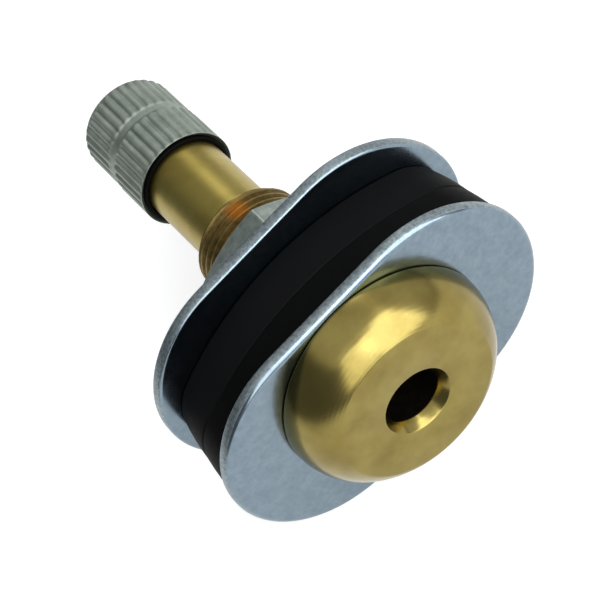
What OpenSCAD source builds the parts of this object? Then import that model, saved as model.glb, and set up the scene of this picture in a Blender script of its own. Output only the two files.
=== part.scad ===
// Clamp-in tyre valve for an oval rim hole: a turned brass stem with a round
// head, two oval steel plates that squeeze a pair of rubber gaskets, a thin
// hex nut, a knurled dust cap and a spring-closed valve core.
// The valve lies on the long edges of its plates. The valve axis runs along Y,
// with the head at the low end and the cap at the high end, X is the length of
// the plates and Z points up. The origin is under the middle, on the floor.

/* [Head] */
// Largest diameter of the domed head, where it meets the plate
head_d = 25.8; // [23:0.1:26.6]
// Diameter of the flat face of the head
face_d = 19; // [14:0.1:21]
// Height of the head
head_h = 6; // [5:0.1:9]
// Height of the undercut between head and plate
undercut_h = 0.35; // [0.2:0.05:0.6]
// Depth of the undercut between head and plate
undercut_depth = 0.6; // [0.2:0.05:1]
// Diameter of the air bore
bore_d = 6.8; // [5:0.1:7.6]
// Diameter of the countersink at the mouth of the air bore
sink_d = 8.3; // [7.8:0.1:10]
// Depth of the countersink
sink_depth = 1.4; // [0.6:0.1:2.4]

/* [Shank and stem] */
// Outside diameter of the clamping thread
shank_d = 13.5; // [12.5:0.1:15]
// Free thread behind the nut
shank_free = 6.3; // [5.9:0.1:10]
// Chamfer at the end of the clamping thread
shank_chamfer = 0.7; // [0.3:0.1:1.2]
// Diameter of the smooth stem
stem_d = 10.1; // [9.4:0.1:10.8]
// Smooth stem left open between the shank and the cap
stem_open = 12.7; // [6:0.1:24]
// Smooth stem hidden by the mouth of the cap
stem_hidden = 1.6; // [1:0.1:3]
// Chamfer at the end of the smooth stem
stem_chamfer = 0.4; // [0.2:0.1:0.6]
// Outside diameter of the cap thread
cap_thread_d = 7.7; // [7.2:0.1:8]
// Length of the cap thread
cap_thread_l = 9.3; // [9:0.1:14]
// Chamfer at the mouth of the stem
mouth_chamfer = 0.4; // [0.2:0.05:0.5]

/* [Plates] */
// Length of the oval plates
plate_len = 42; // [36:0.5:54]
// Width of the oval plates
plate_wid = 27; // [26.8:0.1:34]
// Thickness of the plates
plate_th = 1.5; // [1.4:0.1:3]
// Radius of the rolled edge on the outward side
plate_roll = 0.5; // [0.3:0.05:0.8]
// Radius of the edge on the gasket side
plate_burr = 0.2; // [0.1:0.05:0.4]

/* [Gaskets] */
// Step of the gaskets' ends inside the ends of the plates
gasket_inset = 0.3; // [0.1:0.1:3]
// Width of the rubber gaskets
gasket_wid = 20; // [17:0.1:26]
// Radius of the gasket ends
gasket_end_r = 6.5; // [4:0.1:7.5]
// Thickness of the inner gasket
gasket_in_th = 6.4; // [3:0.1:9]
// Thickness of the outer gasket
gasket_out_th = 5.5; // [3:0.1:9]

/* [Nut] */
// Width of the nut across its flats
nut_af = 18; // [16.5:0.1:20]
// Thickness of the nut
nut_th = 6; // [4:0.1:8]
// Turn of the nut from a corner pointing straight up
nut_turn = 12.6; // [0:0.1:59]
// Depth of the nut's corner chamfers
nut_chamfer = 0.7; // [0.3:0.1:1.2]
// Step from the flats in to the round edge of the nut's faces
nut_face_step = 0.18; // [0.1:0.02:0.5]

/* [Cap] */
// Diameter over the knurl of the skirt
skirt_d = 12.2; // [11.9:0.1:14]
// Length of the skirt
skirt_l = 6.7; // [5:0.1:9]
// Diameter over the knurl of the upper band
crown_d = 12; // [11.4:0.1:13.5]
// Width of the groove between the bands
cap_groove_w = 0.7; // [0.3:0.1:1.2]
// Depth of the groove, below the floor of the knurl
cap_groove_depth = 0.15; // [0.05:0.05:0.3]
// Thickness of the closed end
cap_top_th = 1.5; // [1:0.1:3]
// Radius of the top edge
cap_round = 0.9; // [0.4:0.1:1.3]
// Number of knurl ridges
knurl_count = 32; // [20:1:48]
// Depth of the knurl
knurl_depth = 0.28; // [0.1:0.02:0.36]
// Share of the pitch taken by a ridge at its top
knurl_land = 0.45; // [0.2:0.05:0.55]
// Share of the pitch taken by each sloped side of a ridge
knurl_slope = 0.2; // [0.1:0.02:0.2]
// Thickness of the skirt wall round the dust ring, below the knurl
skirt_wall = 0.2; // [0.15:0.05:0.3]
// Step of the mouth's edge inside the floor of the knurl
mouth_lip = 0.08; // [0.04:0.02:0.12]
// Width of the dust ring along the axis
ring_w = 1.7; // [1.2:0.1:2]
// Length of the dust ring that stands out of the mouth of the cap
ring_lip = 0.6; // [0.2:0.1:0.8]
// Thickness of the sealing disc in the cap
seal_th = 1.2; // [0.6:0.1:2]

/* [Valve core] */
// Bore of the core thread in the stem
core_bore_d = 5.24; // [5:0.02:5.4]
// Depth of the core thread from the mouth
core_thread_depth = 7; // [6.6:0.1:9]
// Diameter of the chamber below the core seat
chamber_d = 4.3; // [4.1:0.02:4.5]
// Height of the conical core seat
seat_h = 0.8; // [0.5:0.1:1.2]
// Length of the threaded plug
plug_l = 5; // [4:0.1:5.5]
// Width of the bridge on top of the plug
plug_bridge = 2.2; // [1.8:0.1:3]
// Height of the bridge
plug_bridge_h = 2.6; // [1.5:0.1:3]
// Wall between the plug's well and its thread
plug_wall = 1.17; // [0.9:0.01:1.3]
// Height that the plug's well reaches up into the bridge
plug_well_rise = 0.4; // [0.2:0.1:0.8]
// Outside diameter of the barrel
barrel_d = 3.5; // [3.3:0.02:3.7]
// Length of the barrel below its collar
barrel_l = 8.6; // [7.5:0.1:12]
// Height of the barrel's collar
barrel_collar_h = 0.7; // [0.4:0.1:1]
// Bore of the barrel
barrel_bore_d = 2.3; // [2.1:0.02:2.5]
// Thickness of the barrel's lower wall
barrel_floor = 1.7; // [1:0.1:2.5]
// Gap for the air round the pin, in the barrel's lower wall
barrel_vent = 0.3; // [0.15:0.05:0.35]
// Diameter of the pin
pin_d = 1.1; // [0.9:0.02:1.2]
// Gap between the pin's tip and the mouth of the stem
pin_inset = 0.3; // [0.1:0.1:0.8]
// Diameter of the pin's collar
pin_collar_d = 2; // [1.9:0.02:2.06]
// Height of the pin's collar
pin_collar_h = 0.4; // [0.2:0.1:0.8]
// Riveted end of the pin below the cup
pin_foot = 0.3; // [0.1:0.1:0.6]
// Travel of the pin, which the narrow chamber below it leaves room for
pin_travel = 1.4; // [0.8:0.1:2]
// Narrow chamber left below the pressed pin, above the end of the air bore
chamber_room = 0.6; // [0.2:0.1:2]
// Free height of the spring, between the barrel's floor and the pin's collar
spring_l = 5.5; // [4:0.1:6]
// Wire diameter of the spring
spring_wire = 0.26; // [0.18:0.02:0.28]
// Turns of the spring
spring_turns = 8; // [5:1:10]
// Diameter of the cup at the foot of the pin
cup_d = 3.2; // [2.8:0.1:3.5]
// Height of the cup
cup_h = 1.5; // [1:0.1:2.5]
// Wall of the cup round its rubber ring
cup_wall = 0.15; // [0.1:0.05:0.25]
// Thickness of the rubber ring in the cup
cup_seal_th = 0.9; // [0.5:0.1:1.4]

/* [Fits] */
// Radial clearance of the pieces that slide on the clamping thread
thread_clear = 0.08; // [0.03:0.01:0.1]
// Radial clearance of the cap on its thread and of its ring on the stem
cap_clear = 0.08; // [0.03:0.01:0.1]
// Radial clearance inside the valve core
core_clear = 0.05; // [0.03:0.01:0.08]

/* [Hidden] */

// Fine steps for round shapes
round_fn = 96;
// Sides of the spring wire and steps of the spring in each turn
wire_sides = 8;
spring_steps = 14;
// A little more, so that a cut runs past the face it opens
past = 0.1;

// Stations along the valve axis, from the face of the head
inner_plate_y = head_h;
inner_gasket_y = inner_plate_y + plate_th;
outer_gasket_y = inner_gasket_y + gasket_in_th;
outer_plate_y = outer_gasket_y + gasket_out_th;
nut_y = outer_plate_y + plate_th;
shank_end_y = nut_y + nut_th + shank_free;
cap_y = shank_end_y + stem_open;
stem_end_y = cap_y + stem_hidden;
mouth_y = stem_end_y + cap_thread_l;
cap_inside_y = mouth_y + seal_th;
cap_end_y = cap_inside_y + cap_top_th;
crown_y = cap_y + skirt_l;
seat_top_y = mouth_y - core_thread_depth;
seat_y = seat_top_y - seat_h;
drill_point_h = (bore_d - chamber_d) / 2;

// Stations of the valve core
barrel_collar_y = seat_top_y + core_clear;
barrel_y = barrel_collar_y - barrel_l;
plug_y = barrel_collar_y + barrel_collar_h;
spring_y = barrel_y + barrel_floor;
pin_tip_y = mouth_y - pin_inset;
cup_y = barrel_y - cup_seal_th / 2 - cup_h;
chamber_y = cup_y - pin_foot - pin_travel - chamber_room;

// Radii that more than one piece takes its fit from
shank_r = shank_d / 2;
sliding_r = shank_r + thread_clear;
stem_r = stem_d / 2;
cap_thread_r = cap_thread_d / 2;
chamber_r = chamber_d / 2;
core_bore_r = core_bore_d / 2;
pin_r = pin_d / 2;
barrel_r = barrel_d / 2;
cup_seal_r = cup_d / 2 - cup_wall;
skirt_root_r = skirt_d / 2 - knurl_depth;
crown_root_r = crown_d / 2 - knurl_depth;
ring_seat_r = skirt_root_r - skirt_wall;

// The arc of the head's flank rises square from the plate and ends at the face
head_r = head_d / 2;
face_r = face_d / 2;
flank_h = head_h - undercut_h;
flank_center_r = (head_r * head_r - face_r * face_r - flank_h * flank_h) / (2 * (head_r - face_r));
flank_arc_r = head_r - flank_center_r;

// Side arcs of a gasket that run on smoothly into its round ends
gasket_end_x = plate_len / 2 - gasket_inset - gasket_end_r;
gasket_side_r = (pow(gasket_end_x, 2) + pow(gasket_wid / 2, 2) - pow(gasket_end_r, 2))
              / (gasket_wid - 2 * gasket_end_r);
gasket_side_z = gasket_side_r - gasket_wid / 2;
gasket_tangent = gasket_side_r / (gasket_side_r - gasket_end_r);

// Set a shape that is turned round Z on the valve axis, at a station along Y
module on_axis(y) {
    translate([0, y - cap_end_y / 2, plate_wid / 2])
        rotate([-90, 0, 0])
            children();
}

// A straight hole or peg round the local Z axis
module round_bar(r, h) {
    cylinder(r = r, h = h, $fn = round_fn);
}

// A ring round the local Z axis
module round_ring(outer_r, inner_r, h) {
    difference() {
        round_bar(outer_r, h);
        translate([0, 0, -past])
            round_bar(inner_r, h + 2 * past);
    }
}

// Half of a plate's section: a sheet edge with a large and a small round
module plate_edge_profile() {
    half = plate_wid / 2;
    square([half - plate_roll, plate_th]);
    translate([half - plate_roll, plate_roll])
        square([plate_roll - plate_burr, plate_th - plate_roll]);
    translate([half - plate_burr - past, plate_roll])
        square([plate_burr + past, plate_th - plate_roll - plate_burr]);
    translate([half - plate_roll, plate_roll])
        circle(r = plate_roll, $fn = round_fn);
    translate([half - plate_burr, plate_th - plate_burr])
        circle(r = plate_burr, $fn = round_fn);
}

// An oval plate with straight sides, lying on its rolled face
module oval_plate() {
    span = plate_len - plate_wid;
    difference() {
        union() {
            for (side = [-1, 1])
                translate([side * span / 2, 0, 0])
                    rotate_extrude($fn = round_fn)
                        plate_edge_profile();
            translate([-span / 2, 0, 0])
                rotate([90, 0, 90])
                    linear_extrude(span) {
                        plate_edge_profile();
                        mirror([1, 0])
                            plate_edge_profile();
                    }
        }
        translate([0, 0, -past])
            round_bar(sliding_r, plate_th + 2 * past);
    }
}

// The outline of a gasket: two long arcs that meet two round ends
module gasket_outline() {
    tangent_x = gasket_end_x * gasket_tangent;
    for (side = [-1, 1])
        translate([side * gasket_end_x, 0])
            circle(r = gasket_end_r, $fn = round_fn);
    intersection() {
        gasket_lens();
        square([2 * tangent_x, gasket_wid], center = true);
    }
}

// The lens between the two long arcs of a gasket
module gasket_lens() {
    intersection() {
        translate([0, gasket_side_z])
            circle(r = gasket_side_r, $fn = 4 * round_fn);
        translate([0, -gasket_side_z])
            circle(r = gasket_side_r, $fn = 4 * round_fn);
    }
}

// A flat rubber gasket with a hole for the shank
module gasket(th) {
    difference() {
        linear_extrude(th)
            gasket_outline();
        translate([0, 0, -past])
            round_bar(sliding_r, th + 2 * past);
    }
}

// Section of the head: a flat face, a rounded flank and the undercut
module head_profile() {
    intersection() {
        translate([flank_center_r, flank_h])
            circle(r = flank_arc_r, $fn = 2 * round_fn);
        square([head_r, flank_h]);
    }
    square([face_r, flank_h]);
    translate([0, flank_h - past])
        square([head_r - undercut_depth, undercut_h + past]);
}

// Section of the passage through the stem, from the head to the mouth
module passage_profile() {
    polygon([
        [0, -past],
        [sink_d / 2 + past * (sink_d - bore_d) / 2 / sink_depth, -past],
        [bore_d / 2, sink_depth],
        [bore_d / 2, chamber_y - drill_point_h],
        [chamber_r, chamber_y],
        [chamber_r, seat_y],
        [core_bore_r, seat_top_y],
        [core_bore_r, mouth_y - mouth_chamfer],
        [core_bore_r + mouth_chamfer + past, mouth_y + past],
        [0, mouth_y + past],
    ]);
}

// Section of everything turned on the stem behind the head
module shank_profile() {
    polygon([
        [0, head_h - undercut_h],
        [shank_r, head_h - undercut_h],
        [shank_r, shank_end_y - shank_chamfer],
        [shank_r - shank_chamfer, shank_end_y],
        [stem_r, shank_end_y],
        [stem_r, stem_end_y - stem_chamfer],
        [stem_r - stem_chamfer, stem_end_y],
        [cap_thread_r, stem_end_y],
        [cap_thread_r, mouth_y - mouth_chamfer],
        [cap_thread_r - mouth_chamfer, mouth_y],
        [0, mouth_y],
    ]);
}

// The turned brass stem: head, clamping thread, smooth stem and cap thread
module valve_stem() {
    color("#b39a45")
        on_axis(0)
            rotate_extrude($fn = round_fn)
                difference() {
                    union() {
                        head_profile();
                        shank_profile();
                    }
                    passage_profile();
                }
}

// The steel plate under the head, rolled edge towards the head
module inner_plate() {
    color("#b9c2c6")
        on_axis(inner_plate_y)
            oval_plate();
}

// The rubber gasket that seals against the inside of the rim
module inner_gasket() {
    color("#17181a")
        on_axis(inner_gasket_y)
            gasket(gasket_in_th);
}

// The rubber gasket on the outside of the rim
module outer_gasket() {
    color("#1e1f20")
        on_axis(outer_gasket_y)
            gasket(gasket_out_th);
}

// The steel plate under the nut, rolled edge towards the nut
module outer_plate() {
    color("#aab4b8")
        on_axis(outer_plate_y + plate_th)
            rotate([180, 0, 0])
                oval_plate();
}

// The hex nut, with its corners chamfered on both faces
module hex_nut() {
    corner_r = nut_af / 2 / cos(30);
    flat_r = nut_af / 2 - nut_face_step;
    // The chamfer's cone runs on past the corners, so that it cuts them cleanly
    cone_r = corner_r + past;
    cone_h = nut_chamfer * (cone_r - flat_r) / (corner_r - flat_r);
    color("#a9b1b0")
        on_axis(nut_y)
            difference() {
                intersection() {
                    rotate([0, 0, nut_turn - 90])
                        cylinder(r = corner_r, h = nut_th, $fn = 6);
                    rotate_extrude($fn = round_fn)
                        polygon([
                            [0, 0],
                            [flat_r, 0],
                            [cone_r, cone_h],
                            [cone_r, nut_th - cone_h],
                            [flat_r, nut_th],
                            [0, nut_th],
                        ]);
                }
                translate([0, 0, -past])
                    round_bar(sliding_r, nut_th + 2 * past);
            }
}

// A band of straight knurling: flat ridges with sloped sides
module knurl_band(outer_r, root_r, h) {
    pitch = 360 / knurl_count;
    land = pitch * knurl_land / 2;
    flank = pitch * knurl_slope;
    ridge = [[root_r, -land - flank], [outer_r, -land], [outer_r, land], [root_r, land + flank]];
    linear_extrude(h)
        polygon([
            for (i = [0 : knurl_count - 1])
                for (corner = ridge)
                    corner[0] * [cos(i * pitch + corner[1]), sin(i * pitch + corner[1])]
        ]);
}

// Outer section of the cap, a little wider than the knurl, which rounds it off at its two ends
module cap_envelope() {
    crown_r = crown_d / 2 + past;
    skirt_r = skirt_d / 2 + past;
    mouth_r = skirt_root_r - mouth_lip;
    top_round = cap_round + past;
    height = cap_end_y - cap_y;
    groove_mid = skirt_l + cap_groove_w / 2;
    translate([crown_r - top_round, height - top_round])
        circle(r = top_round, $fn = round_fn);
    translate([0, groove_mid - past])
        square([crown_r - top_round, height - groove_mid + past]);
    translate([0, groove_mid - past])
        square([crown_r, height - top_round - groove_mid + past]);
    polygon([
        [0, 0],
        [mouth_r, 0],
        [skirt_r, skirt_r - mouth_r],
        [skirt_r, groove_mid],
        [0, groove_mid],
    ]);
}

// Inside of the cap: the seat of the dust ring, the room for the stem and the thread
module cap_hollow() {
    stem_room_r = stem_r + cap_clear;
    stem_room_y = stem_end_y - cap_y + cap_clear;
    translate([0, 0, -past])
        round_bar(ring_seat_r, ring_w - ring_lip + past);
    round_bar(stem_room_r, stem_room_y);
    round_bar(cap_thread_r + cap_clear, cap_inside_y - cap_y);
}

// The knurled dust cap
module cap_shell() {
    color("#8f9791")
        on_axis(cap_y)
            difference() {
                intersection() {
                    union() {
                        knurl_band(skirt_d / 2, skirt_root_r, skirt_l);
                        translate([0, 0, skirt_l])
                            round_bar(crown_root_r - cap_groove_depth, cap_groove_w);
                        translate([0, 0, skirt_l + cap_groove_w])
                            knurl_band(crown_d / 2, crown_root_r, cap_end_y - crown_y - cap_groove_w);
                    }
                    rotate_extrude($fn = round_fn)
                        cap_envelope();
                }
                cap_hollow();
            }
}

// The black dust ring in the mouth of the cap
module cap_ring() {
    color("#101010")
        on_axis(cap_y - ring_lip)
            round_ring(ring_seat_r, stem_r + cap_clear, ring_w);
}

// The rubber disc that seals the cap on the mouth of the stem
module cap_seal() {
    color("#1a1a1a")
        on_axis(mouth_y)
            round_bar(cap_thread_r, seal_th);
}

// The threaded plug that holds the core in the stem, with its bridge
module core_plug() {
    plug_r = core_bore_r - core_clear;
    well_r = plug_r - plug_wall;
    well_h = plug_l - plug_bridge_h + plug_well_rise;
    color("#c2a24a")
        on_axis(plug_y)
            difference() {
                round_bar(plug_r, plug_l);
                translate([0, 0, -past])
                    round_bar(well_r, well_h + past);
                translate([0, 0, -past])
                    round_bar(pin_r + core_clear, plug_l + 2 * past);
                for (side = [-1, 1])
                    translate([side * (plug_bridge / 2 + plug_r), 0, plug_l - plug_bridge_h / 2 + past])
                        cube([2 * plug_r, 3 * plug_r, plug_bridge_h + 2 * past], center = true);
            }
}

// The barrel that guides the pin and holds the spring
module core_barrel() {
    color("#c2a24a")
        on_axis(barrel_y)
            difference() {
                union() {
                    round_bar(barrel_r, barrel_l + barrel_collar_h);
                    translate([0, 0, barrel_l])
                        round_bar(core_bore_r - core_clear, barrel_collar_h);
                }
                translate([0, 0, barrel_floor])
                    round_bar(barrel_bore_d / 2, barrel_l + barrel_collar_h);
                translate([0, 0, -past])
                    round_bar(pin_r + barrel_vent, barrel_floor + 2 * past);
            }
}

// The tapered ring that seals the barrel on the core seat
module core_barrel_seal() {
    slope = (core_bore_r - chamber_r) / seat_h;
    color("#b5372e")
        on_axis(seat_y)
            rotate_extrude($fn = round_fn)
                polygon([
                    [barrel_r, 0],
                    [chamber_r - core_clear, 0],
                    [chamber_r - core_clear + slope * seat_h, seat_h],
                    [barrel_r, seat_h],
                ]);
}

// The pin, with the collar that the spring lifts
module core_pin() {
    pin_y = cup_y - pin_foot;
    color("#c9b26a")
        on_axis(pin_y) {
            round_bar(pin_r, pin_tip_y - pin_y);
            translate([0, 0, spring_y + spring_l - pin_y])
                round_bar(pin_collar_d / 2, pin_collar_h);
        }
}

// Points of a ring of the spring's wire, at a turn along its helix
function spring_ring(mean_r, turn, climb) = [
    for (k = [0 : wire_sides - 1])
        let (a = 360 * k / wire_sides, r = mean_r + spring_wire / 2 * cos(a))
            [r * cos(360 * turn), r * sin(360 * turn), spring_wire / 2 + climb + spring_wire / 2 * sin(a)]
];

// The closing spring, one wire swept along a helix
module core_spring() {
    mean_r = (pin_r + barrel_bore_d / 2) / 2;
    steps = spring_turns * spring_steps;
    climb = spring_l - spring_wire;
    points = [for (i = [0 : steps]) each spring_ring(mean_r, i / spring_steps, climb * i / steps)];
    sides = [
        for (i = [0 : steps - 1])
            for (k = [0 : wire_sides - 1])
                let (a = i * wire_sides, n = (k + 1) % wire_sides)
                    [a + k, a + n, a + wire_sides + n, a + wire_sides + k]
    ];
    first = [for (k = [wire_sides - 1 : -1 : 0]) k];
    last = [for (k = [0 : wire_sides - 1]) steps * wire_sides + k];
    color("#9a9a95")
        on_axis(spring_y)
            polyhedron(points = points, faces = concat(sides, [first, last]));
}

// The cup on the foot of the pin
module core_cup() {
    color("#c2a24a")
        on_axis(cup_y)
            difference() {
                round_bar(cup_d / 2, cup_h);
                translate([0, 0, cup_h - cup_seal_th / 2])
                    round_bar(cup_seal_r, cup_h);
                translate([0, 0, -past])
                    round_bar(pin_r, cup_h + 2 * past);
            }
}

// The rubber ring in the cup, which closes the barrel's lower end
module core_cup_seal() {
    color("#202020")
        on_axis(barrel_y - cup_seal_th)
            round_ring(cup_seal_r, pin_r, cup_seal_th);
}

valve_stem();
inner_plate();
inner_gasket();
outer_gasket();
outer_plate();
hex_nut();
cap_shell();
cap_ring();
cap_seal();
core_plug();
core_barrel();
core_barrel_seal();
core_pin();
core_spring();
core_cup();
core_cup_seal();
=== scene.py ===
"""A clamp-in tyre valve in brass, zinc-plated steel, rubber and nickel, dressed on its CAD frame."""

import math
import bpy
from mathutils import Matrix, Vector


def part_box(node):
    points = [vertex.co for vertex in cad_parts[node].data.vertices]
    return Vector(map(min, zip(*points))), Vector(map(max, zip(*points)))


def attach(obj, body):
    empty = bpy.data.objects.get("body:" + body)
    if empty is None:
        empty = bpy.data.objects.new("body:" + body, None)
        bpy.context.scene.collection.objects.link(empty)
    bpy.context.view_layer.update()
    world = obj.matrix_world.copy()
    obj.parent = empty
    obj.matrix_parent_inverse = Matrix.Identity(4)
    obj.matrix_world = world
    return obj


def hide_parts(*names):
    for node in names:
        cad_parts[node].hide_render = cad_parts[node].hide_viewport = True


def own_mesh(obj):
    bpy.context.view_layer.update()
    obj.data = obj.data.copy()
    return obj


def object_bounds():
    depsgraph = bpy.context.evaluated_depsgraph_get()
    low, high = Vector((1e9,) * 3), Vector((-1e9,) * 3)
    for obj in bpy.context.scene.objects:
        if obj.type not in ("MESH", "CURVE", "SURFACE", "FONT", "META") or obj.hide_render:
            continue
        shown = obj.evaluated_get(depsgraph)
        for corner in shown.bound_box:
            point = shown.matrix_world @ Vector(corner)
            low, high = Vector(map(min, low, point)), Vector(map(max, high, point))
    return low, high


bl_info = {
    "name": "Clamp-in Tyre Valve",
    "version": (1, 0, 0),
    "blender": (4, 5, 0),
    "location": "View3D > Sidebar > Tyre Valve",
    "description": "Models the visible pieces of a clamp-in tyre valve and gives them their finishes",
    "category": "Object",
}

import bmesh
import bpy
from bpy.props import FloatProperty, FloatVectorProperty, IntProperty, PointerProperty
from mathutils import Matrix, Vector

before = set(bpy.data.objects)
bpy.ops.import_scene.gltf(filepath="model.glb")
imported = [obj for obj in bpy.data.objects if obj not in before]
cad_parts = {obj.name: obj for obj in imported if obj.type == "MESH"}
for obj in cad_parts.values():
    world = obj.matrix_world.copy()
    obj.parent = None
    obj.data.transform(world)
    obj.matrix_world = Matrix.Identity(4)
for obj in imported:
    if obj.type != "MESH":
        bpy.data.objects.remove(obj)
CAD_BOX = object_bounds()

MM = 0.001
TURN = 2 * math.pi
# Points closer than this are one point, and points are looked up by their place with this slack
MERGE = 1e-6
NEAR = 5 * MERGE
# Steps of a fine turned surface
FINE_STEPS = 144
STEM_LOW, STEM_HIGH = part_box("valve_stem")
AXIS_Z = (STEM_LOW.z + STEM_HIGH.z) / 2
HEAD_FACE_Y = STEM_LOW.y
# Height of a thread as a share of its pitch
THREAD_HEIGHT = 0.5
# Camera at the photo's angle: sensor and lens, place, and its turns in degrees
SENSOR, LENS = 36, 147.73
CAMERA_PLACE = Vector((-2.44, -180.49, 219.72)) * MM
TILT, HEADING, ROLL = 39.79, -0.49, -45.3
# Strength of the world, and of the glow that turns the pale floor white
WORLD_STRENGTH = 0.24
FLOOR_GLOW = 0.62
# Half the floor's width, and the distance of the lamps, in metres
FLOOR_REACH = 2.0
LAMP_DISTANCE = 0.5
# Soft panels: azimuth and elevation in degrees, width and height in metres, brightness as seen in a mirror
LAMPS = {
    "window_right": (-62, 31, 0.42, 0.5, 4.2),
    "window_left": (-102, 33, 0.26, 0.42, 3.3),
    "side": (4, 33, 0.9, 0.55, 0.7),
    "back": (54, 38, 0.09, 0.3, 1.6),
    "overhead": (90, 88, 0.7, 0.7, 0.8),
}


def linear(code):
    """A linear colour from an sRGB hex code."""
    parts = [int(code[i:i + 2], 16) / 255 for i in (1, 3, 5)]
    return [c / 12.92 if c <= 0.04045 else ((c + 0.055) / 1.055) ** 2.4 for c in parts] + [1.0]


def length(name, description, millimetres):
    """A length property with its default in millimetres."""
    return FloatProperty(name=name, description=description, default=millimetres * MM, min=0,
                         precision=5, unit="LENGTH", subtype="DISTANCE")


def colour(name, description, code):
    """A colour property with its default as a hex code."""
    return FloatVectorProperty(name=name, description=description, default=linear(code), size=4,
                               min=0, max=1, subtype="COLOR")


class ValveSizes(bpy.types.PropertyGroup):
    """Sizes that the boxes of the frame don't give."""

    face_d: length("Face", "Diameter of the flat face of the head", 19)
    sink_d: length("Countersink", "Diameter of the countersink in the face", 8.3)
    sink_depth: length("Countersink depth", "Depth of the countersink", 1.4)
    bore_d: length("Air bore", "Diameter of the air bore", 6.8)
    bore_depth: length("Bore depth", "Depth of the air bore from the face", 35.75)
    undercut_h: length("Undercut", "Height of the undercut between head and plate", 0.1)
    undercut_depth: length("Undercut depth", "Depth of the undercut", 0.2)
    shank_d: length("Shank", "Outside diameter of the clamping thread", 13.5)
    shank_l: length("Shank end", "End of the clamping thread, from the face", 33.2)
    shank_chamfer: length("Shank chamfer", "Chamfer at the end of the clamping thread", 0.7)
    shank_pitch: length("Shank pitch", "Pitch of the clamping thread", 0.98)
    # Reach of the orange spot near the end of the clamping thread, which is a painted reflection
    reflection_reach: length("Stain", "Reach of the stain at the end of the clamping thread", 1.8)
    stem_d: length("Stem", "Diameter of the smooth stem", 10.1)
    stem_l: length("Stem end", "End of the smooth stem, from the face", 47.5)
    cap_thread_d: length("Cap thread", "Outside diameter of the cap thread", 7.7)
    cap_pitch: length("Cap pitch", "Pitch of the cap thread", 0.794)
    core_bore_d: length("Core bore", "Bore of the core thread", 5.24)
    core_seat_l: length("Core seat", "Top of the core seat, from the face", 49.8)
    seat_h: length("Seat height", "Height of the conical core seat", 0.8)
    chamber_d: length("Chamber", "Diameter of the chamber below the core", 4.3)
    plate_roll: length("Plate roll", "Radius of the inner plate's rolled edge on the head side", 0.8)
    plate_burr: length("Plate burr", "Radius of the inner plate's edge on the gasket side", 0.2)
    nut_side_roll: length("Nut-side roll", "Radius of the outer plate's edge on the nut side", 0.3)
    nut_side_burr: length("Nut-side burr", "Radius of the outer plate's edge on the gasket side", 0.4)
    hole_gap: length("Hole gap", "Clearance round the clamping thread", 0.08)
    gasket_end_r: length("Gasket end", "Radius of the ends of a gasket", 6.5)
    gasket_round: length("Gasket round", "Rounding of the gaskets' edges", 0.3)
    gasket_bulge: length("Gasket bulge", "Hollow left at a gasket's edges by its squeezed middle", 0.12)
    seam_draw: length("Draw at seam", "Step in of the gaskets' ends where the two meet", 0.5)
    nut_side_draw: length("Draw at nut side", "Step in of the outer gasket's ends at its plate", 1.4)
    nut_chamfer: length("Nut chamfer", "Depth of the nut's corner chamfers", 0.7)
    nut_face_step: length("Nut face", "Step from the flats in to the round edge of a face", 0.18)
    nut_af: length("Nut", "Width of the nut across its flats", 18)
    nut_turn: FloatProperty(name="Nut turn", description="Turn of a nut corner away from straight up",
                            default=math.radians(12.6), subtype="ANGLE", unit="ROTATION")
    skirt_l: length("Skirt", "Length of the cap's skirt", 6.7)
    crown_d: length("Crown", "Diameter over the knurl of the cap's upper band", 12)
    cap_groove_w: length("Groove", "Width of the groove between the cap's bands", 0.6)
    cap_groove_depth: length("Groove depth", "Depth of the groove below the crests of the knurl", 0.2)
    groove_fade: length("Groove fade", "Run of each soft wall of the groove into its band", 0.55)
    knurl_fade: length("Knurl fade", "Run of the knurl from nothing to its full depth", 0.8)
    mouth_bevel: length("Mouth bevel", "Depth of the bevel inside the cap's mouth", 0.4)
    ring_lip: length("Ring lip", "Rubber lip that stands out of the cap's mouth", 0.2)
    cap_round: length("Cap round", "Radius of the cap's top edge", 0.9)
    seal_gap: length("Seal gap", "Clearance of the cap's closed end over its sealing disc", 0.02)
    knurl_depth: length("Knurl depth", "Depth of the knurl", 0.28)
    knurl_count: IntProperty(name="Knurl", description="Number of knurl ridges", default=32, min=8)
    spring_wire: length("Spring wire", "Diameter of the closing spring's wire", 0.26)
    spring_turns: IntProperty(name="Spring turns", description="Turns of the closing spring",
                              default=8, min=3)


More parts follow.
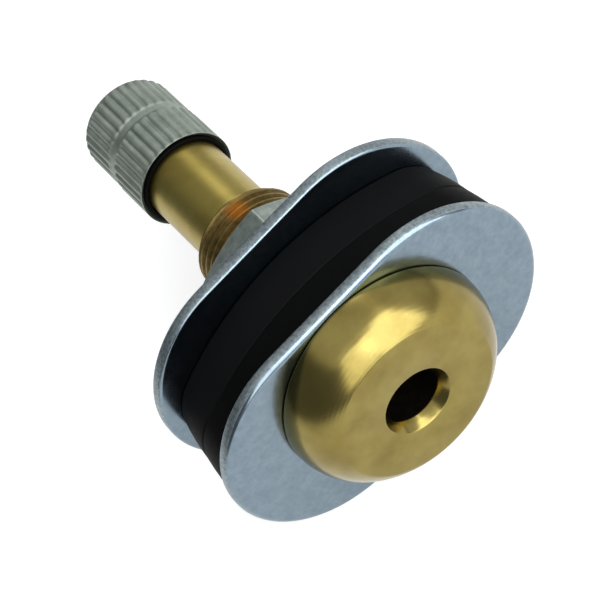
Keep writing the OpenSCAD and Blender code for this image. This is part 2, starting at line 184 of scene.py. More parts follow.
class ValveFinish(bpy.types.PropertyGroup):
    """Colours of the finishes."""

    brass: colour("Brass", "Turned brass of the head", "#8a7d47")
    brass_tarnish: colour("Tarnish", "Head brass that has browned a little", "#776837")
    stem_brass: colour("Stem brass", "Satin brass of the stem", "#a3934e")
    stem_tarnish: colour("Stem tarnish", "Stem brass that has browned a little", "#8c793c")
    thread_brass: colour("Thread crest", "Oiled brass on the crests of the thread", "#897545")
    thread_brown: colour("Thread", "Oiled brass in the thread", "#6a5833")
    # An orange painted reflection near the end of the clamping thread
    painted_reflection: colour("Stain", "Orange-brown stain at the end of the clamping thread", "#b0752f")
    # Painted shade: the brass in the bores is coloured near-black for the shade down the hole
    bore_shade: colour("Bore", "Dark oxide in the air bore", "#1e1b17")
    bore_deep_shade: colour("Bore soot", "Darkest oxide in the air bore", "#100f0d")
    zinc: colour("Zinc", "Bright zinc plate", "#7b8a94")
    zinc_dull: colour("Dull zinc", "Darker grain of the zinc plate", "#6f7e89")
    zinc_edge: colour("Zinc edge", "Zinc on the sheared edge of a plate", "#97a2a5")
    edge_dull: colour("Dull zinc edge", "Darker grain of the sheared edge", "#69767b")
    nut_zinc: colour("Nut zinc", "Zinc plate of the nut", "#a9b3ab")
    nut_dull: colour("Dull nut zinc", "Darker grain of the nut", "#8b968e")
    nickel: colour("Nickel", "Dull nickel plate", "#9fa79d")
    nickel_dark: colour("Nickel grime", "Darker nickel in the knurl", "#8a9389")
    steel: colour("Spring steel", "Drawn steel wire", "#a9aca8")
    steel_dark: colour("Dark steel", "Darker streaks of the wire", "#6f736f")
    rubber: colour("Rubber", "Black moulded rubber", "#050505")
    # Painted light: the outer gasket's rubber is painted greyer for the light that falls on it
    rubber_painted_light: colour("Dusty rubber", "Rubber under a film of dust", "#0c0c0d")
    red_seal: colour("Core seal", "Red seal of the valve core", "#a8322a")
    floor: colour("Floor", "Pale floor", "#c4c4c4")
    sky: colour("Sky", "Soft light from all round", "#dfe4ea")


def sizes():
    """The size properties of the scene."""
    return bpy.context.scene.valve_sizes


def finish():
    """The finish properties of the scene."""
    return bpy.context.scene.valve_finish


# Mesh helpers

def lathe(profile, steps, closed=True):
    """A bmesh turned round the valve axis from points of station and radius; an open one ends on the axis."""
    bm = bmesh.new()
    verts = [bm.verts.new((0, y, AXIS_Z + r)) for y, r in profile]
    edges = [bm.edges.new(pair) for pair in zip(verts, verts[1:])]
    if closed:
        edges.append(bm.edges.new((verts[-1], verts[0])))
    bmesh.ops.spin(bm, geom=verts + edges, cent=(0, 0, AXIS_Z), axis=(0, 1, 0), dvec=(0, 0, 0),
                   angle=TURN, steps=steps, use_merge=True, use_normal_flip=False, use_duplicate=False)
    bmesh.ops.remove_doubles(bm, verts=bm.verts, dist=MERGE)
    return bm


def polar(vert):
    """The angle from straight up and the radius of a vertex, round the valve axis."""
    x, z = vert.co.x, vert.co.z - AXIS_Z
    return math.atan2(x, z), math.hypot(x, z)


def set_polar(vert, angle, radius):
    """Moves a vertex to an angle and radius round the valve axis."""
    vert.co.x = radius * math.sin(angle)
    vert.co.z = AXIS_Z + radius * math.cos(angle)


def round_rings(bm, rings, width, segments=3):
    """Rounds the turned edges that lie on rings of station and radius."""
    def on_ring(vert, ring):
        return abs(vert.co.y - ring[0]) < NEAR and abs(polar(vert)[1] - ring[1]) < NEAR
    edges = [e for e in bm.edges if any(all(on_ring(v, ring) for v in e.verts) for ring in rings)]
    bmesh.ops.bevel(bm, geom=edges, offset=width, offset_type="OFFSET", affect="EDGES", segments=segments,
                    profile=0.5, material=-1, clamp_overlap=True)


def arc(center, radius, start, end, count):
    """Points of station and radius along an arc, by angle from the outward direction towards +Y."""
    angles = [start + (end - start) * i / count for i in range(count + 1)]
    return [(center[0] + radius * math.sin(a), center[1] + radius * math.cos(a)) for a in angles]


def thread(start, end, crest_r, root_r, pitch, steps=48):
    """A closed bmesh of a right-hand thread between two stations."""
    # One rib, as shares of the pitch and radii
    rib = ((0, root_r), (0.08, root_r), (0.36, crest_r), (0.64, crest_r), (0.92, root_r), (1, root_r))
    turns = math.ceil((end - start) / pitch) + 2
    bm = bmesh.new()
    verts = [bm.verts.new((0, start + (share - 1) * pitch, AXIS_Z + r)) for share, r in rib]
    edges = [bm.edges.new(pair) for pair in zip(verts, verts[1:])]
    bmesh.ops.spin(bm, geom=verts + edges, cent=(0, 0, AXIS_Z), axis=(0, 1, 0), dvec=(0, pitch / steps, 0),
                   angle=TURN * turns, steps=steps * turns, use_merge=False, use_normal_flip=False,
                   use_duplicate=False)
    bmesh.ops.remove_doubles(bm, verts=bm.verts, dist=MERGE)
    for y, outward in ((start, -1), (end, 1)):
        cut = bmesh.ops.bisect_plane(bm, geom=bm.verts[:] + bm.edges[:] + bm.faces[:], dist=MERGE,
                                     plane_co=(0, y, 0), plane_no=(0, outward, 0), clear_outer=True)
        rim = [g for g in cut["geom_cut"] if isinstance(g, bmesh.types.BMEdge)]
        bmesh.ops.contextual_create(bm, geom=rim)
    return bm


def join(bm, other):
    """Adds another bmesh to this one."""
    mesh = bpy.data.meshes.new("joined")
    other.to_mesh(mesh)
    other.free()
    bm.from_mesh(mesh)
    bpy.data.meshes.remove(mesh)


def make_piece(name, bm, finishes, body, node, crease=35):
    """A finished piece from a bmesh, which stands for a CAD node and rides on its body."""
    bmesh.ops.recalc_face_normals(bm, faces=bm.faces)
    mesh = bpy.data.meshes.new(name)
    bm.to_mesh(mesh)
    bm.free()
    mesh.shade_smooth()
    mesh.set_sharp_from_angle(angle=math.radians(crease))
    for material in finishes:
        mesh.materials.append(material)
    piece = bpy.data.objects.new(name, mesh)
    bpy.context.scene.collection.objects.link(piece)
    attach(piece, body)
    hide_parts(node)
    return piece


# Finishes

def add_node(tree, kind, settings=None, links=None):
    """Adds a node, sets its attributes or sockets, by name or number, and links sockets to its inputs."""
    made = tree.nodes.new(kind)
    for key, value in (settings or {}).items():
        if isinstance(key, int) or key in made.inputs:
            made.inputs[key].default_value = value
        else:
            setattr(made, key, value)
    for key, source in (links or {}).items():
        tree.links.new(source, made.inputs[key])
    return made


def start_material(name):
    """A new material with an empty tree, its output node and its coordinates centred on the valve axis."""
    material = bpy.data.materials.get(name)
    if material:
        return material, None, None, None
    material = bpy.data.materials.new(name)
    material.use_nodes = True
    tree = material.node_tree
    tree.nodes.clear()
    output = add_node(tree, "ShaderNodeOutputMaterial")
    place = add_node(tree, "ShaderNodeTexCoord")
    centred = add_node(tree, "ShaderNodeMapping", {"Location": (0, 0, -AXIS_Z)},
                       {"Vector": place.outputs["Object"]})
    return material, tree, output, centred.outputs["Vector"]


def wave_scale(spacing):
    """Scale of a wave texture whose lines lie a real spacing apart; the node itself multiplies by 20."""
    return TURN / (20 * spacing)


def turned_brass(name, light, dark, rough):
    """Turned brass: fine tool marks run round the axis and a light tarnish clouds the gloss."""
    material, tree, output, place = start_material(name)
    if tree is None:
        return material
    marks = add_node(tree, "ShaderNodeTexWave", {
        "wave_type": "RINGS", "rings_direction": "Y", "Scale": wave_scale(0.35 * MM), "Distortion": 2.0,
        "Detail": 3.0, "Detail Scale": 0.6}, {"Vector": place})
    cloud = add_node(tree, "ShaderNodeTexNoise", {"Scale": 1 / (6 * MM), "Detail": 5.0, "Roughness": 0.6},
                     {"Vector": place})
    patches = add_node(tree, "ShaderNodeMapRange", {"From Min": 0.3, "From Max": 0.6},
                       {"Value": cloud.outputs["Fac"]})
    tint = add_node(tree, "ShaderNodeMix", {"data_type": "RGBA", 6: dark, 7: light},
                    {"Factor": patches.outputs["Result"]})
    gloss = add_node(tree, "ShaderNodeMapRange", {"To Min": rough[1], "To Max": rough[0]},
                     {"Value": cloud.outputs["Fac"]})
    bump = add_node(tree, "ShaderNodeBump", {"Strength": 0.12, "Distance": 0.02 * MM},
                    {"Height": marks.outputs["Fac"]})
    shader = add_node(tree, "ShaderNodeBsdfPrincipled", {"Metallic": 1.0}, {
        "Base Color": tint.outputs[2], "Roughness": gloss.outputs["Result"],
        "Normal": bump.outputs["Normal"]})
    tree.links.new(shader.outputs["BSDF"], output.inputs["Surface"])
    return material


def head_brass():
    """Turned brass of the head: smooth enough to mirror the windows."""
    return turned_brass("head_brass", finish().brass, finish().brass_tarnish, (0.18, 0.28))


def satin_brass():
    """Satin brass of the stem and the core, as drawn bar: softer and yellower than the head."""
    return turned_brass("satin_brass", finish().stem_brass, finish().stem_tarnish, (0.3, 0.4))


def cloudy_metal(name, light, dark, grain, rough, bump_height, painted_reflection=None):
    """A grained metal: the grain varies its tone and gloss, and a painted reflection has a tone, a middle and
    a reach.
    """
    material, tree, output, place = start_material(name)
    if tree is None:
        return material
    cloud = add_node(tree, "ShaderNodeTexNoise", {"Scale": 1 / grain, "Detail": 6.0, "Roughness": 0.65},
                     {"Vector": place})
    steps = add_node(tree, "ShaderNodeMapRange", {"From Min": 0.35, "From Max": 0.65},
                     {"Value": cloud.outputs["Fac"]})
    tint = add_node(tree, "ShaderNodeMix", {"data_type": "RGBA", 6: dark, 7: light},
                    {"Factor": steps.outputs["Result"]})
    gloss = add_node(tree, "ShaderNodeMapRange", {"To Min": rough[0], "To Max": rough[1]},
                     {"Value": cloud.outputs["Fac"]})
    bump = add_node(tree, "ShaderNodeBump", {"Strength": 0.3, "Distance": bump_height},
                    {"Height": cloud.outputs["Fac"]})
    # A painted reflection: a spot of its tone that fades out towards its reach
    if painted_reflection:
        tone, middle, reach = painted_reflection
        away = add_node(tree, "ShaderNodeVectorMath", {"operation": "DISTANCE", 1: middle}, {0: place})
        spread = add_node(tree, "ShaderNodeMapRange", {
            "From Min": reach / 3, "From Max": reach, "To Min": 1.0, "To Max": 0.0},
            {"Value": away.outputs["Value"]})
        tint = add_node(tree, "ShaderNodeMix", {"data_type": "RGBA", 7: tone}, {
            "Factor": spread.outputs["Result"], 6: tint.outputs[2]})
    shader = add_node(tree, "ShaderNodeBsdfPrincipled", {"Metallic": 1.0}, {
        "Base Color": tint.outputs[2], "Roughness": gloss.outputs["Result"],
        "Normal": bump.outputs["Normal"]})
    tree.links.new(shader.outputs["BSDF"], output.inputs["Surface"])
    return material


def zinc_plate():
    """Bright zinc plate on rolled sheet: blue-grey, with a fine grain."""
    return cloudy_metal("zinc_plate", finish().zinc, finish().zinc_dull, 0.9 * MM, (0.14, 0.24),
                        0.001 * MM)


def sheared_edge():
    """Zinc plate on the sheared edge of the sheet: pale, rough and speckled."""
    return cloudy_metal("sheared_edge", finish().zinc_edge, finish().edge_dull, 0.35 * MM, (0.34, 0.5),
                        0.01 * MM)


def nut_plate():
    """Zinc plate on the cut nut: greener and duller than on the sheet."""
    return cloudy_metal("nut_plate", finish().nut_zinc, finish().nut_dull, 0.8 * MM, (0.25, 0.4),
                        0.01 * MM)


def dull_nickel():
    """Dull nickel plate: grey-green and satin."""
    return cloudy_metal("dull_nickel", finish().nickel, finish().nickel_dark, 2.2 * MM, (0.48, 0.6),
                        0.01 * MM)


def oiled_thread():
    """Brass thread under a film of oil and grime: brown and half dull, with one painted orange reflection at
    its end.
    """
    s = sizes()
    # The painted reflection lies a little aside from the top of the thread, and some turns in from its end
    aside, turns_in = 0.1, 2.2
    middle = (aside * s.shank_d, HEAD_FACE_Y + s.shank_l - turns_in * s.shank_pitch, s.shank_d / 2)
    return cloudy_metal("oiled_thread", finish().thread_brass, finish().thread_brown, 0.9 * MM,
                        (0.38, 0.55), 0.02 * MM, (finish().painted_reflection, middle, s.reflection_reach))


def shaded_bore():
    """Brass in the air bore, coloured near-black as painted shade down the deep hole, and dull."""
    return cloudy_metal("shaded_bore", finish().bore_shade, finish().bore_deep_shade, 1.5 * MM, (0.5, 0.7),
                        0.02 * MM)


def spring_wire():
    """Drawn steel wire: grey and smooth."""
    return cloudy_metal("spring_wire", finish().steel, finish().steel_dark, 0.4 * MM, (0.25, 0.4),
                        0.005 * MM)


def moulded_rubber(name="moulded_rubber", tone=None):
    """Moulded rubber: a matt skin with a fine grain from the mould."""
    material, tree, output, place = start_material(name)
    if tree is None:
        return material
    grain = add_node(tree, "ShaderNodeTexNoise", {"Scale": 1 / (0.5 * MM), "Detail": 4.0},
                     {"Vector": place})
    gloss = add_node(tree, "ShaderNodeMapRange", {"To Min": 0.5, "To Max": 0.7},
                     {"Value": grain.outputs["Fac"]})
    bump = add_node(tree, "ShaderNodeBump", {"Strength": 0.25, "Distance": 0.02 * MM},
                    {"Height": grain.outputs["Fac"]})
    shader = add_node(tree, "ShaderNodeBsdfPrincipled", {
        "Base Color": tone or finish().rubber, "IOR": 1.52, "Specular IOR Level": 0.05}, {
        "Roughness": gloss.outputs["Result"], "Normal": bump.outputs["Normal"]})
    tree.links.new(shader.outputs["BSDF"], output.inputs["Surface"])
    return material


def lit_rubber():
    """Moulded rubber painted a little greyer than clean rubber: painted light for the lit outer gasket,
    beside the shaded inner one.
    """
    return moulded_rubber("lit_rubber", finish().rubber_painted_light)


def white_floor():
    """A pale floor that looks white to the camera and in mirrors, and keeps the shadow."""
    material, tree, output, _ = start_material("white_floor")
    if tree is None:
        return material
    seen = add_node(tree, "ShaderNodeLightPath")
    mirrored = add_node(tree, "ShaderNodeMath", {"operation": "ADD"}, {
        0: seen.outputs["Is Camera Ray"], 1: seen.outputs["Is Glossy Ray"]})
    shown = add_node(tree, "ShaderNodeMath", {"operation": "ADD", "use_clamp": True}, {
        0: mirrored.outputs["Value"], 1: seen.outputs["Is Transmission Ray"]})
    plain = add_node(tree, "ShaderNodeBsdfDiffuse", {"Color": finish().floor})
    glow = add_node(tree, "ShaderNodeEmission", {"Strength": FLOOR_GLOW})
    both = add_node(tree, "ShaderNodeAddShader", {}, {
        0: plain.outputs["BSDF"], 1: glow.outputs["Emission"]})
    mix = add_node(tree, "ShaderNodeMixShader", {}, {
        0: shown.outputs["Value"], 1: plain.outputs["BSDF"], 2: both.outputs["Shader"]})
    tree.links.new(mix.outputs["Shader"], output.inputs["Surface"])
    return material


# Pieces

class VALVE_OT_stem(bpy.types.Operator):
    """Turns the brass stem with its head, its clamping thread and its cap thread"""

    bl_idname = "tyre_valve.stem"
    bl_label = "Stem"

    def execute(self, context):
        s = sizes()
        plate_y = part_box("inner_plate")[0].y
        mouth_y = STEM_HIGH.y
        head_r = max(STEM_HIGH.x, -STEM_LOW.x)
        face_r = s.face_d / 2
        flank_y = plate_y - s.undercut_h
        flank_h = flank_y - HEAD_FACE_Y
        center_r = (head_r ** 2 - face_r ** 2 - flank_h ** 2) / (2 * (head_r - face_r))
        flank_r = head_r - center_r
        start = math.asin(-flank_h / flank_r)
        flank = arc((flank_y, center_r), flank_r, start, 0, 28)
        shank_r, stem_r, cap_r = s.shank_d / 2, s.stem_d / 2, s.cap_thread_d / 2
        shank_root = shank_r - THREAD_HEIGHT * s.shank_pitch
        cap_root = cap_r - THREAD_HEIGHT * s.cap_pitch
        inner_r = head_r - s.undercut_depth
        shank_y, stem_y = HEAD_FACE_Y + s.shank_l, HEAD_FACE_Y + s.stem_l
        seat_y = HEAD_FACE_Y + s.core_seat_l
        bore_end = HEAD_FACE_Y + s.bore_depth
        bore_r, chamber_r, core_r = s.bore_d / 2, s.chamber_d / 2, s.core_bore_d / 2
        edge = 0.4 * MM
        profile = [(HEAD_FACE_Y, s.sink_d / 2), *flank, (flank_y, inner_r), (plate_y, inner_r),
                   (plate_y, shank_root), (shank_y - edge / 4, shank_root), (shank_y - edge / 4, stem_r),
                   (stem_y - edge, stem_r), (stem_y, stem_r - edge), (stem_y, cap_root),
                   (mouth_y - edge, cap_root), (mouth_y, cap_root - edge), (mouth_y, core_r + edge / 2),
                   (mouth_y - edge / 2, core_r), (seat_y, core_r), (seat_y - s.seat_h, chamber_r),
                   (bore_end + bore_r - chamber_r, chamber_r), (bore_end, bore_r),
                   (HEAD_FACE_Y + s.sink_depth, bore_r)]
        bm = lathe(profile, FINE_STEPS)
        face_round, small_round = 0.2 * MM, 0.12 * MM
        round_rings(bm, [(HEAD_FACE_Y, face_r)], face_round)
        round_rings(bm, [(HEAD_FACE_Y, s.sink_d / 2), (HEAD_FACE_Y + s.sink_depth, bore_r),
                         (flank_y, head_r)], small_round)
        finishes = [head_brass(), oiled_thread(), shaded_bore(), satin_brass()]
        head, threaded, bored, drawn = range(len(finishes))
        # Faces inside the bores take the painted shade of the bore
        for face in bm.faces:
            inside = all(polar(v)[1] < core_r + edge and v.co.y > seat_y or polar(v)[1] < bore_r + MERGE
                         and v.co.y < stem_y for v in face.verts)
            past_shank = all(v.co.y > shank_y - edge for v in face.verts)
            face.material_index = bored if inside else drawn if past_shank else head
        clamping = thread(plate_y, shank_y, shank_r, shank_root, s.shank_pitch)
        for vert in clamping.verts:
            angle, radius = polar(vert)
            limit = shank_r - max(0, vert.co.y - (shank_y - s.shank_chamfer))
            set_polar(vert, angle, min(radius, limit))
        cap_thread = thread(stem_y - edge, mouth_y - edge / 2, cap_r, cap_root, s.cap_pitch)
        for ribs in (clamping, cap_thread):
            for face in ribs.faces:
                face.material_index = threaded
            join(bm, ribs)
        make_piece("stem", bm, finishes, "valve_body", "valve_stem")
        return {"FINISHED"}


class VALVE_OT_plates(bpy.types.Operator):
    """Presses the two oval plates from sheet"""

    bl_idname = "tyre_valve.plates"
    bl_label = "Plates"

    def plate(self, name, node, body, rolled_low, roll, burr):
        """One oval plate, rolled on its low or high side and lightly rounded on the other."""
        s = sizes()
        low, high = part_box(node)
        thick = high.y - low.y
        half = (high.z - low.z) / 2
        span = (high.x - low.x) / 2 - half
        hole_r = s.shank_d / 2 + s.hole_gap
        quarter = math.pi / 2
        section = [(0, hole_r), *arc((roll, half - roll), roll, -quarter, 0, 8),
                   *arc((thick - burr, half - burr), burr, 0, quarter, 4), (thick, hole_r)]
        profile = [(low.y + y, r) if rolled_low else (high.y - y, r) for y, r in section]
        bm = lathe(profile, 2 * FINE_STEPS)
        bmesh.ops.rotate(bm, verts=bm.verts, cent=(0, 0, AXIS_Z),
                         matrix=Matrix.Rotation(TURN / (4 * FINE_STEPS), 3, "Y"))
        for vert in bm.verts:
            if polar(vert)[1] > hole_r + MERGE:
                vert.co.x += math.copysign(span, vert.co.x)
        hole_round = 0.1 * MM
        round_rings(bm, [(low.y, hole_r), (high.y, hole_r)], hole_round)
        bm.normal_update()
        # A face that turns this far from the plate's own face is part of the sheared edge
        edge_normal = 0.6
        for face in bm.faces:
            face.material_index = 1 if abs(face.normal.y) < edge_normal else 0
        make_piece(name, bm, [zinc_plate(), sheared_edge()], body, node)

    def execute(self, context):
        s = sizes()
        self.plate("head_side_plate", "inner_plate", "valve_body", True, s.plate_roll, s.plate_burr)
        self.plate("nut_side_plate", "outer_plate", "outer_clamp", False, s.nut_side_roll, s.nut_side_burr)
        return {"FINISHED"}


class VALVE_OT_gaskets(bpy.types.Operator):
    """Moulds the two rubber gaskets, squeezed a little out at the middle"""

    bl_idname = "tyre_valve.gaskets"
    bl_label = "Gaskets"

    def outline(self, angle, half_len, half_wid, end_r):
        """Radius of the four-arc outline at an angle from straight up."""
        end_x = half_len - end_r
        side_r = (end_x ** 2 + half_wid ** 2 - end_r ** 2) / (2 * (half_wid - end_r))
        side_z = side_r - half_wid
        tangent_x = end_x * side_r / (side_r - end_r)
        dx, dz = abs(math.sin(angle)), abs(math.cos(angle))
        side = -dz * side_z + math.sqrt((dz * side_z) ** 2 + side_r ** 2 - side_z ** 2)
        if side * dx <= tangent_x:
            return side
        return dx * end_x + math.sqrt((dx * end_x) ** 2 + end_r ** 2 - end_x ** 2)

    def gasket(self, name, node, body, rubber, draw_low, draw_high):
        """One gasket, bulged at its middle, with its ends drawn in from its low side to its high side."""
        s = sizes()
        low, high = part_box(node)
        half_len, half_wid = (high.x - low.x) / 2, (high.z - low.z) / 2
        hole_r = s.shank_d / 2 + s.hole_gap
        quarter = math.pi / 2
        edge = half_wid - s.gasket_bulge
        rounding = s.gasket_round
        middle = (low.y + high.y) / 2
        section = [(low.y, hole_r), *arc((low.y + rounding, edge - rounding), rounding, -quarter, 0, 6),
                   ((low.y + rounding + middle) / 2, half_wid - s.gasket_bulge / 4), (middle, half_wid),
                   ((high.y - rounding + middle) / 2, half_wid - s.gasket_bulge / 4),
                   *arc((high.y - rounding, edge - rounding), rounding, 0, quarter, 6), (high.y, hole_r)]
        bm = lathe(section, 2 * FINE_STEPS)
        for vert in bm.verts:
            angle, radius = polar(vert)
            if radius > hole_r + MERGE:
                reach = self.outline(angle, half_len, half_wid, s.gasket_end_r)
                set_polar(vert, angle, reach - (half_wid - radius))
                share = (vert.co.y - low.y) / (high.y - low.y)
                vert.co.x *= 1 - (draw_low + (draw_high - draw_low) * share) / half_len
        make_piece(name, bm, [rubber], body, node)

    def execute(self, context):
        s = sizes()
        self.gasket("head_side_gasket", "inner_gasket", "valve_body", moulded_rubber(), 0, s.seam_draw)
        # The nut-side gasket takes the greyer rubber of painted light
        self.gasket("nut_side_gasket", "outer_gasket", "outer_clamp", lit_rubber(),
                    s.seam_draw, s.nut_side_draw)
        return {"FINISHED"}


class VALVE_OT_nut(bpy.types.Operator):
    """Cuts the hex nut and chamfers its corners"""

    bl_idname = "tyre_valve.nut"
    bl_label = "Nut"

    def execute(self, context):
        s = sizes()
        low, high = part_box("hex_nut")
        flat_r = s.nut_af / 2
        corner_r = flat_r / math.cos(math.pi / 6)
        face_r = flat_r - s.nut_face_step
        slope = s.nut_chamfer / (corner_r - face_r)
        hole_r = s.shank_d / 2 + s.hole_gap
        lead, corner_round = 0.5 * MM, 0.25 * MM
        profile = [(low.y, hole_r + lead), (low.y, face_r), (low.y + s.nut_chamfer, corner_r),
                   (high.y - s.nut_chamfer, corner_r), (high.y, face_r), (high.y, hole_r + lead),
                   (high.y - lead, hole_r), (low.y + lead, hole_r)]
        bm = lathe(profile, FINE_STEPS)
        for vert in bm.verts:
            angle, radius = polar(vert)
            if radius > corner_r - MERGE:
                from_flat = (angle % (TURN / 6)) - TURN / 12
                radius = flat_r / math.cos(from_flat)
                chamfer = slope * (radius - face_r)
                vert.co.y = low.y + chamfer if vert.co.y < (low.y + high.y) / 2 else high.y - chamfer
                set_polar(vert, angle, radius)
        corners = [e for e in bm.edges if all(polar(v)[1] > corner_r - NEAR for v in e.verts)]
        bmesh.ops.bevel(bm, geom=corners, offset=corner_round, offset_type="OFFSET", affect="EDGES",
                        segments=3, profile=0.5, material=-1, clamp_overlap=True)
        bmesh.ops.rotate(bm, verts=bm.verts, cent=(0, 0, AXIS_Z),
                         matrix=Matrix.Rotation(s.nut_turn, 3, "Y"))
        make_piece("clamp_nut", bm, [nut_plate()], "nut", "hex_nut", crease=20)
        return {"FINISHED"}


class VALVE_OT_cap(bpy.types.Operator):
    """Turns and knurls the cap, with its black ring"""

    bl_idname = "tyre_valve.cap"
    bl_label = "Cap"

    def shell(self):
        """The knurled shell: two bands with a soft groove between them, and an open mouth."""
        s = sizes()
        low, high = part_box("cap_shell")
        skirt_r, crown_r = (high.x - low.x) / 2, s.crown_d / 2
        groove_low = low.y + s.skirt_l
        groove_r = crown_r - s.cap_groove_depth
        ring_low, ring_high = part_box("cap_ring")
        ring_r = (ring_high.x - ring_low.x) / 2
        room_r = s.stem_d / 2 + s.hole_gap
        thread_r = s.cap_thread_d / 2 + s.hole_gap
        stem_y = HEAD_FACE_Y + s.stem_l
        inside_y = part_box("cap_seal")[1].y + s.seal_gap
        valley_y = groove_low + s.cap_groove_w / 2
        valley = s.cap_groove_w / 2 + s.groove_fade
        edge = 0.03 * MM
        crown_end = high.y - s.cap_round
        skirt_end, crown_start = valley_y - valley, valley_y + valley
        rows, half_rows, ridge_steps = 16, 8, 10
        skirt_run, crown_run = skirt_end - low.y - edge, crown_end - crown_start
        skirt_rows = [(low.y + edge + skirt_run * i / rows, skirt_r) for i in range(rows)]
        crown_rows = [(crown_start + crown_run * i / rows, crown_r) for i in range(1, rows)]
        valley_rows = []
        for step in range(-half_rows, half_rows + 1):
            band_r = skirt_r if step < 0 else crown_r
            wall = max(0, 2 * abs(step) / half_rows - 1)
            sunk = 0.5 + 0.5 * math.cos(math.pi * wall)
            valley_rows.append((valley_y + valley * step / half_rows, band_r - (band_r - groove_r) * sunk))
        top = arc((crown_end, crown_r - s.cap_round), s.cap_round, 0, math.pi / 2, 8)
        profile = [(inside_y, 0), (inside_y, thread_r), (stem_y + s.hole_gap, thread_r),
                   (stem_y + s.hole_gap, room_r), (ring_high.y, room_r), (ring_high.y, ring_r),
                   (low.y + s.mouth_bevel, ring_r), (low.y, skirt_r - edge), *skirt_rows, *valley_rows,
                   *crown_rows, *top, (high.y, 0)]
        bm = lathe(profile, s.knurl_count * ridge_steps, closed=False)
        floor_r = crown_r - s.knurl_depth
        for vert in bm.verts:
            angle, radius = polar(vert)
            if radius > floor_r + MERGE:
                near = min(abs(vert.co.y - valley_y) - valley / 2, vert.co.y - low.y)
                fade = min(1, max(0, near / s.knurl_fade))
                cut = s.knurl_depth * fade * (0.5 - 0.5 * math.cos(angle * s.knurl_count)) ** 2
                set_polar(vert, angle, max(radius - cut, floor_r))
        make_piece("cap_knurled", bm, [dull_nickel()], "cap", "cap_shell", crease=50)

    def ring(self):
        """The black ring round the stem, in the mouth of the cap."""
        s = sizes()
        low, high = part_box("cap_ring")
        outer = (high.x - low.x) / 2
        inner = s.stem_d / 2 + s.hole_gap
        lip_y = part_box("cap_shell")[0].y - s.ring_lip
        lip_round = 0.15 * MM
        bm = lathe([(lip_y, inner), (lip_y, outer), (high.y, outer), (high.y, inner)], FINE_STEPS)
        round_rings(bm, [(lip_y, inner), (lip_y, outer)], lip_round)
        # The ring is black rubber and fills the cap's mouth round the stem
        make_piece("cap_mouth_ring", bm, [moulded_rubber()], "cap", "cap_ring")

    def execute(self, context):
        self.shell()
        self.ring()
        return {"FINISHED"}


class VALVE_OT_spring(bpy.types.Operator):
    """Coils the closing spring of the core as it stands when the pin is not pressed; in the valve it shortens
    as the pin is pressed
    """

    bl_idname = "tyre_valve.spring"
    bl_label = "Spring"

    def execute(self, context):
        s = sizes()
        low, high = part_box("core_spring")
        wire_r = s.spring_wire / 2
        mean_r = (high.x - low.x) / 2 - wire_r
        wire_sides, turn_steps = 10, 24
        steps = s.spring_turns * turn_steps
        climb = high.y - low.y - s.spring_wire
        bm = bmesh.new()
        bmesh.ops.create_circle(bm, segments=wire_sides, radius=wire_r,
                                matrix=Matrix.Translation((mean_r, low.y + wire_r, AXIS_Z)))
        bmesh.ops.spin(bm, geom=bm.verts[:] + bm.edges[:], cent=(0, 0, AXIS_Z), axis=(0, 1, 0),
                       dvec=(0, climb / steps, 0), angle=TURN * s.spring_turns, steps=steps,
                       use_merge=False, use_normal_flip=False, use_duplicate=False)
        bmesh.ops.holes_fill(bm, edges=[e for e in bm.edges if e.is_boundary], sides=0)
        spring = make_piece("core_closing_spring", bm, [spring_wire()], "valve_body",
                            "core_spring")
        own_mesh(spring)
        return {"FINISHED"}


class VALVE_OT_core(bpy.types.Operator):
    """Gives the hidden pieces of the valve core and the cap's seal their finishes"""

    bl_idname = "tyre_valve.core"
    bl_label = "Core"

    def execute(self, context):
        brass, red = satin_brass(), moulded_rubber("red_core_seal", finish().red_seal)
        finishes = {"core_plug": brass, "core_barrel": brass, "core_pin": brass, "core_cup": brass,
                    "core_barrel_seal": red, "core_cup_seal": moulded_rubber(), "cap_seal": moulded_rubber()}
        for name, material in finishes.items():
            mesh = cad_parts[name].data
            mesh.materials.clear()
            mesh.materials.append(material)
        return {"FINISHED"}


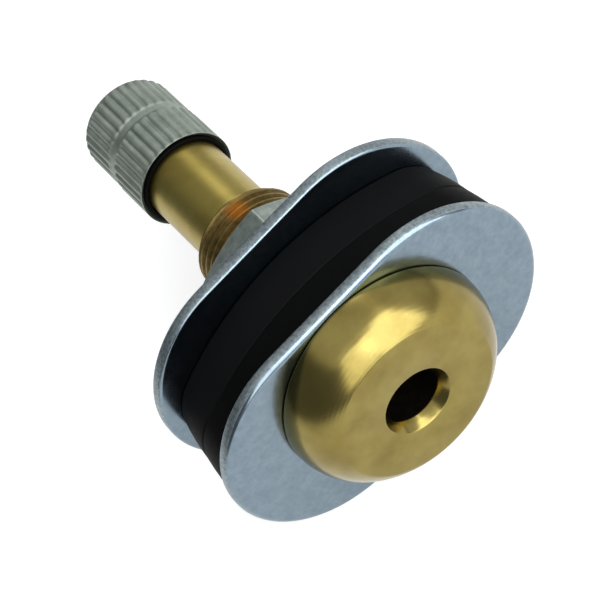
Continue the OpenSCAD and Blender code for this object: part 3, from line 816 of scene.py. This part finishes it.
class VALVE_OT_stage(bpy.types.Operator):
    """Sets the floor, the light and the camera"""

    bl_idname = "tyre_valve.stage"
    bl_label = "Stage"

    def floor(self):
        """One wide, level floor under the valve."""
        bm = bmesh.new()
        bmesh.ops.create_grid(bm, x_segments=1, y_segments=1, size=FLOOR_REACH)
        mesh = bpy.data.meshes.new("floor")
        bm.to_mesh(mesh)
        bm.free()
        plane = bpy.data.objects.new("floor", mesh)
        bpy.context.scene.collection.objects.link(plane)
        mesh.materials.append(white_floor())

    def lamp(self, name, azimuth, elevation, width, height, radiance):
        """A soft panel, by its direction, its size and its brightness as seen in a mirror."""
        light = bpy.data.lights.new(name, "AREA")
        light.shape = "RECTANGLE"
        light.size, light.size_y = width, height
        light.energy = radiance * math.pi * width * height
        around, rise = math.radians(azimuth), math.radians(elevation)
        way = Vector((math.cos(rise) * math.cos(around), math.cos(rise) * math.sin(around), math.sin(rise)))
        lamp = bpy.data.objects.new(name, light)
        lamp.location = (CAD_BOX[0] + CAD_BOX[1]) / 2 + way * LAMP_DISTANCE
        lamp.rotation_euler = way.to_track_quat("Z", "Y").to_euler()
        bpy.context.scene.collection.objects.link(lamp)

    def camera(self):
        """The camera at the photo's viewing angle."""
        data = bpy.data.cameras.new("camera")
        data.sensor_width = SENSOR
        data.lens = LENS
        data.clip_start, data.clip_end = 0.01, 10
        camera = bpy.data.objects.new("camera", data)
        tilt = Matrix.Rotation(math.radians(TILT), 4, "X")
        heading = Matrix.Rotation(math.radians(HEADING), 4, "Z")
        roll = Matrix.Rotation(math.radians(ROLL), 4, "Z")
        camera.matrix_world = Matrix.Translation(CAMERA_PLACE) @ heading @ tilt @ roll
        bpy.context.scene.collection.objects.link(camera)
        bpy.context.scene.camera = camera

    def execute(self, context):
        scene = context.scene
        scene.view_settings.view_transform = "Standard"
        scene.world = bpy.data.worlds.new("studio")
        scene.world.use_nodes = True
        back = scene.world.node_tree.nodes["Background"]
        back.inputs["Color"].default_value = finish().sky
        back.inputs["Strength"].default_value = WORLD_STRENGTH
        self.floor()
        for name, panel in LAMPS.items():
            self.lamp(name, *panel)
        self.camera()
        return {"FINISHED"}


class VALVE_PT_panel(bpy.types.Panel):
    """Lists the pieces of the valve and its sizes and colours"""

    bl_idname = "VALVE_PT_panel"
    bl_label = "Tyre Valve"
    bl_space_type = "VIEW_3D"
    bl_region_type = "UI"
    bl_category = "Tyre Valve"

    def draw(self, context):
        for operator in STEPS:
            self.layout.operator(operator.bl_idname)
        for group in (context.scene.valve_sizes, context.scene.valve_finish):
            column = self.layout.column()
            for name in group.__annotations__:
                column.prop(group, name)


STEPS = (VALVE_OT_stage, VALVE_OT_stem, VALVE_OT_plates, VALVE_OT_gaskets, VALVE_OT_nut, VALVE_OT_cap,
         VALVE_OT_spring, VALVE_OT_core)
CLASSES = (ValveSizes, ValveFinish, *STEPS, VALVE_PT_panel)


def register():
    """Adds the classes and the scene's size and finish properties."""
    for made in CLASSES:
        bpy.utils.register_class(made)
    bpy.types.Scene.valve_sizes = PointerProperty(type=ValveSizes)
    bpy.types.Scene.valve_finish = PointerProperty(type=ValveFinish)


def unregister():
    """Takes out what register added."""
    del bpy.types.Scene.valve_finish
    del bpy.types.Scene.valve_sizes
    for made in reversed(CLASSES):
        bpy.utils.unregister_class(made)


def main():
    """Builds the stage and the pieces in order."""
    register()
    bpy.ops.tyre_valve.stage()
    bpy.ops.tyre_valve.stem()
    bpy.ops.tyre_valve.plates()
    bpy.ops.tyre_valve.gaskets()
    bpy.ops.tyre_valve.nut()
    bpy.ops.tyre_valve.cap()
    bpy.ops.tyre_valve.spring()
    bpy.ops.tyre_valve.core()


if __name__ == "__main__":
    main()
